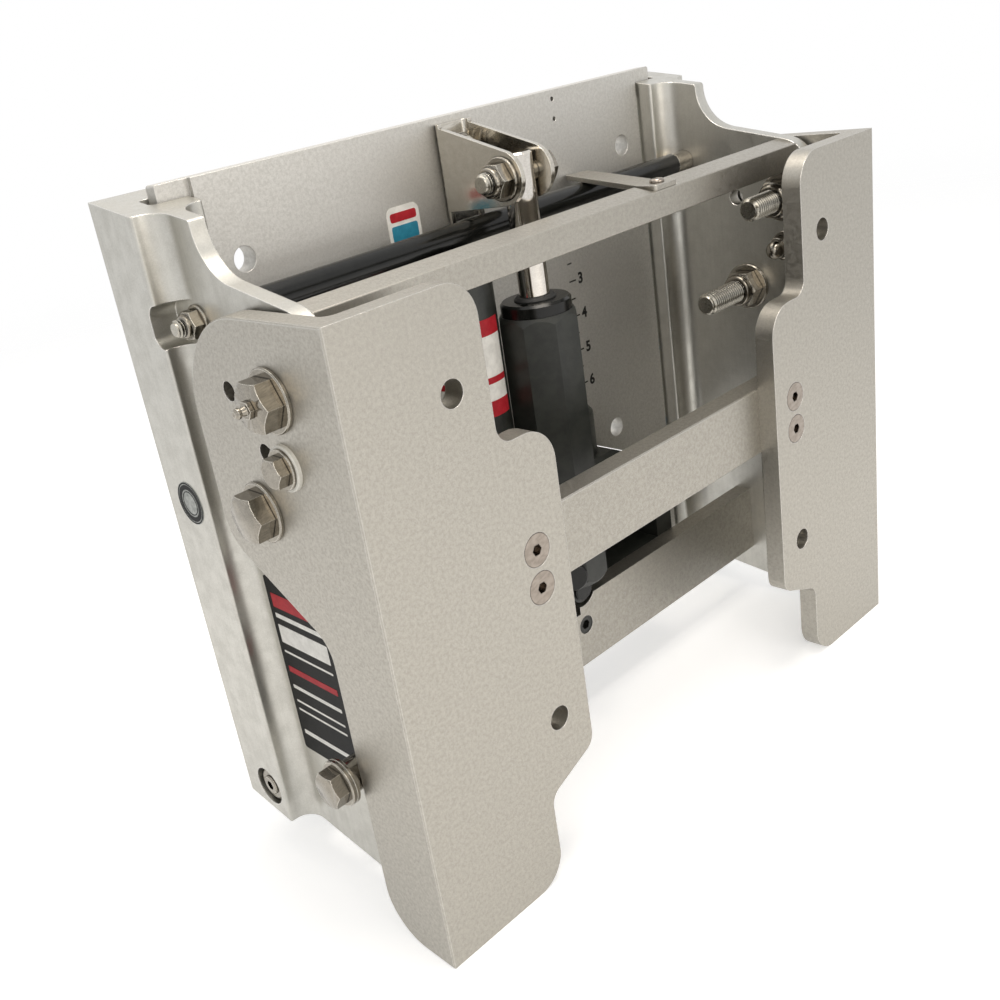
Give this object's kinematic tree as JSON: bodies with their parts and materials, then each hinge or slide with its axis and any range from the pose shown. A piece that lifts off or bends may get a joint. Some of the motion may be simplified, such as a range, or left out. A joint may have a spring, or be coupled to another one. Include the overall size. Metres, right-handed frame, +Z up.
{
  "type": "hydraulic jack plate",
  "caption": "Powered outboard setback bracket: a ram lifts a motor plate between two slide rails, which tilt on clamp bolts between two transom brackets.",
  "frame": {"origin": "midway between the two upper transom bolt holes, on the flanges' transom faces", "axes": "+X across the transom, +Y from the transom towards the motor, +Z up"},
  "size_m": [0.499, 0.1884, 0.4128],
  "materials": {
    "tumbled_aluminium": "tumbled",
    "stainless_steel": "turned",
    "chromed_rod": "polished",
    "seal_rubber": "moulded",
    "white_nylon": "machined",
    "gloss_black": "gloss",
    "satin_black": "satin"
  },
  "bodies": {
    "transom_brackets": {"left_transom_bracket": "tumbled_aluminium", "right_transom_bracket": "tumbled_aluminium", "lower_crossbar": "tumbled_aluminium", "crossbar_screws": "stainless_steel"},
    "kick_frame": {"left_slide_rail": "tumbled_aluminium", "right_slide_rail": "tumbled_aluminium", "left_rail_liner": "white_nylon", "right_rail_liner": "white_nylon", "liner_adjusters": "stainless_steel", "liner_jam_nuts": "stainless_steel", "upper_crossbar": "tumbled_aluminium", "upper_crossbar_screws": "stainless_steel", "tie_bar": "gloss_black", "tie_bar_washers": "stainless_steel", "tie_bar_nuts": "stainless_steel", "lower_cross_plate": "tumbled_aluminium", "web_spacers": "white_nylon", "pivot_bolts": "stainless_steel", "pivot_washers": "stainless_steel", "pivot_nuts": "stainless_steel", "grease_fittings": "stainless_steel", "lock_bolts": "stainless_steel", "lock_washers": "stainless_steel", "lock_nuts": "stainless_steel", "guide_bolts": "stainless_steel", "guide_slide_washers": "white_nylon", "guide_washers": "stainless_steel", "guide_acorn_nuts": "stainless_steel", "stop_bolts": "stainless_steel", "stop_spacers": "stainless_steel", "stop_washers": "stainless_steel", "stop_nuts": "stainless_steel", "height_pointer": "stainless_steel", "pointer_screw": "stainless_steel", "ram_barrel": "satin_black", "barrel_port_plug": "gloss_black", "gland_cap": "gloss_black", "rod_wiper": "seal_rubber", "rod_seal": "seal_rubber", "pump_base": "satin_black", "drain_plug": "gloss_black", "base_bolts": "satin_black", "reservoir": "satin_black", "reservoir_cap": "gloss_black", "filler_plug": "gloss_black", "pump_motor": "satin_black"},
    "ram_piston": {"ram_rod": "chromed_rod", "piston": "tumbled_aluminium", "piston_seal": "seal_rubber"},
    "motor_carriage": {"motor_plate": "tumbled_aluminium", "clevis_bracket": "stainless_steel", "clevis_base_screws": "stainless_steel", "clevis_base_washers": "stainless_steel", "clevis_base_nuts": "stainless_steel", "clevis_bolt": "stainless_steel", "clevis_washers": "stainless_steel", "clevis_nut": "stainless_steel"}
  },
  "joints": [
    {"name": "kick_back", "type": "hinge", "parent": "transom_brackets", "child": "kick_frame", "pos_m": [0, 0.0508, 0.0127], "axis": [1, 0, 0], "range_deg": [0, 6]},
    {"name": "lift", "type": "slide", "parent": "kick_frame", "child": "motor_carriage", "axis": [0, 0, 1], "range_m": [0, 0.1524]},
    {"name": "ram_stroke", "type": "slide", "parent": "kick_frame", "child": "ram_piston", "axis": [0, 0, 1], "range_m": [0, 0.1524]}
  ],
  "couplings": [
    {"joint": "ram_stroke", "follows": "lift", "ratio": 1}
  ]
}
